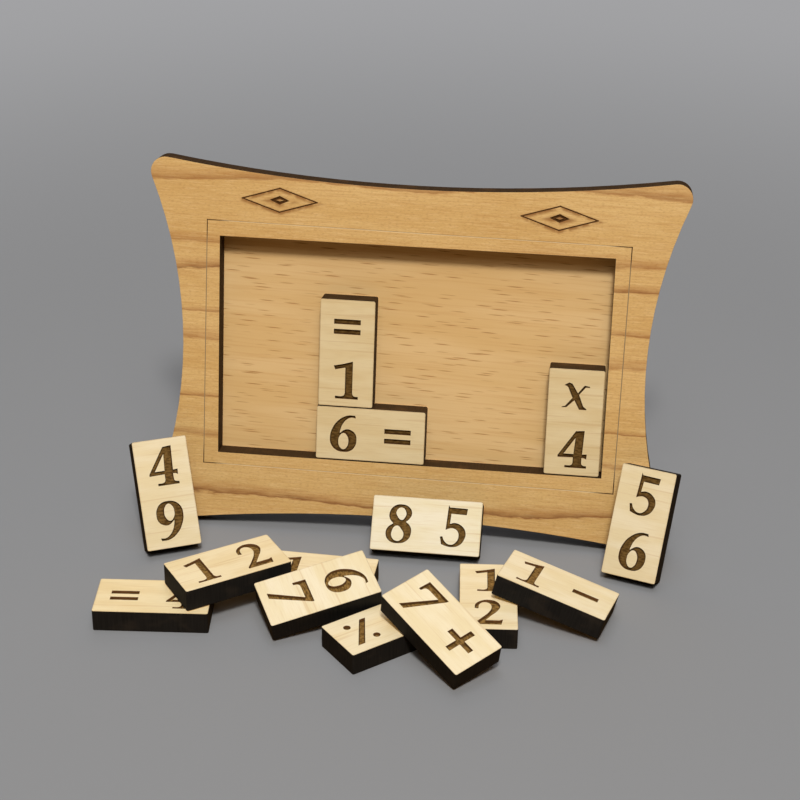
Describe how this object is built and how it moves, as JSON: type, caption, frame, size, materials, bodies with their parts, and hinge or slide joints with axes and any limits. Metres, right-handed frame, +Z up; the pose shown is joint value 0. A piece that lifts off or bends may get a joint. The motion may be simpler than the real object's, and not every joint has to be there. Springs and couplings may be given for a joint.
{
  "type": "number tiling puzzle with standing tray",
  "caption": "Wooden puzzle of domino-shaped number tiles with a hollow-sided frame and tray that leans back on a rear foot; some tiles lie in the tray and the rest lean on it or lie in front",
  "frame": {"origin": "centre of the bounding box in plan, on the table that everything stands on", "axes": "+X runs along the frame to the viewer's right, +Y goes away from the viewer towards the rear foot, +Z is up"},
  "size_m": [0.1514, 0.1186, 0.1016],
  "materials": {
    "fruitwood": "oiled, charred cut edges",
    "beech": "sanded bare",
    "maple": "sanded, charred cut edges and engraving"
  },
  "bodies": {
    "stand": {"front_frame": "fruitwood", "back_panel": "beech", "rear_foot": "fruitwood"},
    "equals_over_1": {"tile_equals_over_1": "maple"},
    "six_equals": {"tile_6_equals": "maple"},
    "times_over_4": {"tile_times_over_4": "maple"},
    "four_over_9": {"tile_4_over_9": "maple"},
    "five_over_6": {"tile_5_over_6": "maple"},
    "eight_5": {"tile_8_5": "maple"},
    "equals_4": {"tile_equals_4": "maple"},
    "one_equals": {"tile_1_equals": "maple"},
    "divide_3": {"tile_divide_3": "maple"},
    "one_over_2": {"tile_1_over_2": "maple"},
    "one_2": {"tile_1_2": "maple"},
    "six_over_7": {"tile_6_over_7": "maple"},
    "seven_plus": {"tile_7_plus": "maple"},
    "one_minus": {"tile_1_minus": "maple"}
  },
  "joints": [
    {"name": "equals_over_1_out", "type": "slide", "parent": "stand", "child": "equals_over_1", "axis": [0, -0.9781, 0.2079], "range_m": [0, 0.009]},
    {"name": "six_equals_out", "type": "slide", "parent": "stand", "child": "six_equals", "axis": [0, -0.9781, 0.2079], "range_m": [0, 0.009]},
    {"name": "times_over_4_out", "type": "slide", "parent": "stand", "child": "times_over_4", "axis": [0, -0.9781, 0.2079], "range_m": [0, 0.009]},
    {"name": "four_over_9_lift", "type": "slide", "parent": "stand", "child": "four_over_9", "axis": [0, 0, 1], "range_m": [0, 0.02]},
    {"name": "five_over_6_lift", "type": "slide", "parent": "stand", "child": "five_over_6", "axis": [0, 0, 1], "range_m": [0, 0.02]},
    {"name": "eight_5_lift", "type": "slide", "parent": "stand", "child": "eight_5", "axis": [0, -0.7071, 0.7071], "range_m": [0, 0.012]},
    {"name": "equals_4_push", "type": "slide", "parent": "stand", "child": "equals_4", "axis": [-0.9962, -0.0872, 0], "range_m": [0, 0.02]},
    {"name": "one_equals_push", "type": "slide", "parent": "stand", "child": "one_equals", "axis": [-0.9996, 0.0297, 0], "range_m": [0, 0.008]},
    {"name": "divide_3_push", "type": "slide", "parent": "stand", "child": "divide_3", "axis": [-0.7547, -0.6561, 0], "range_m": [0, 0.01]},
    {"name": "one_over_2_push", "type": "slide", "parent": "stand", "child": "one_over_2", "axis": [-0.0872, 0.9962, 0], "range_m": [0, 0.004]},
    {"name": "one_2_lift", "type": "slide", "parent": "stand", "child": "one_2", "axis": [0, 0, 1], "range_m": [0, 0.02]},
    {"name": "six_over_7_lift", "type": "slide", "parent": "stand", "child": "six_over_7", "axis": [0, 0, 1], "range_m": [0, 0.02]},
    {"name": "seven_plus_lift", "type": "slide", "parent": "stand", "child": "seven_plus", "axis": [0, 0, 1], "range_m": [0, 0.02]},
    {"name": "one_minus_lift", "type": "slide", "parent": "stand", "child": "one_minus", "axis": [0, 0, 1], "range_m": [0, 0.02]}
  ]
}
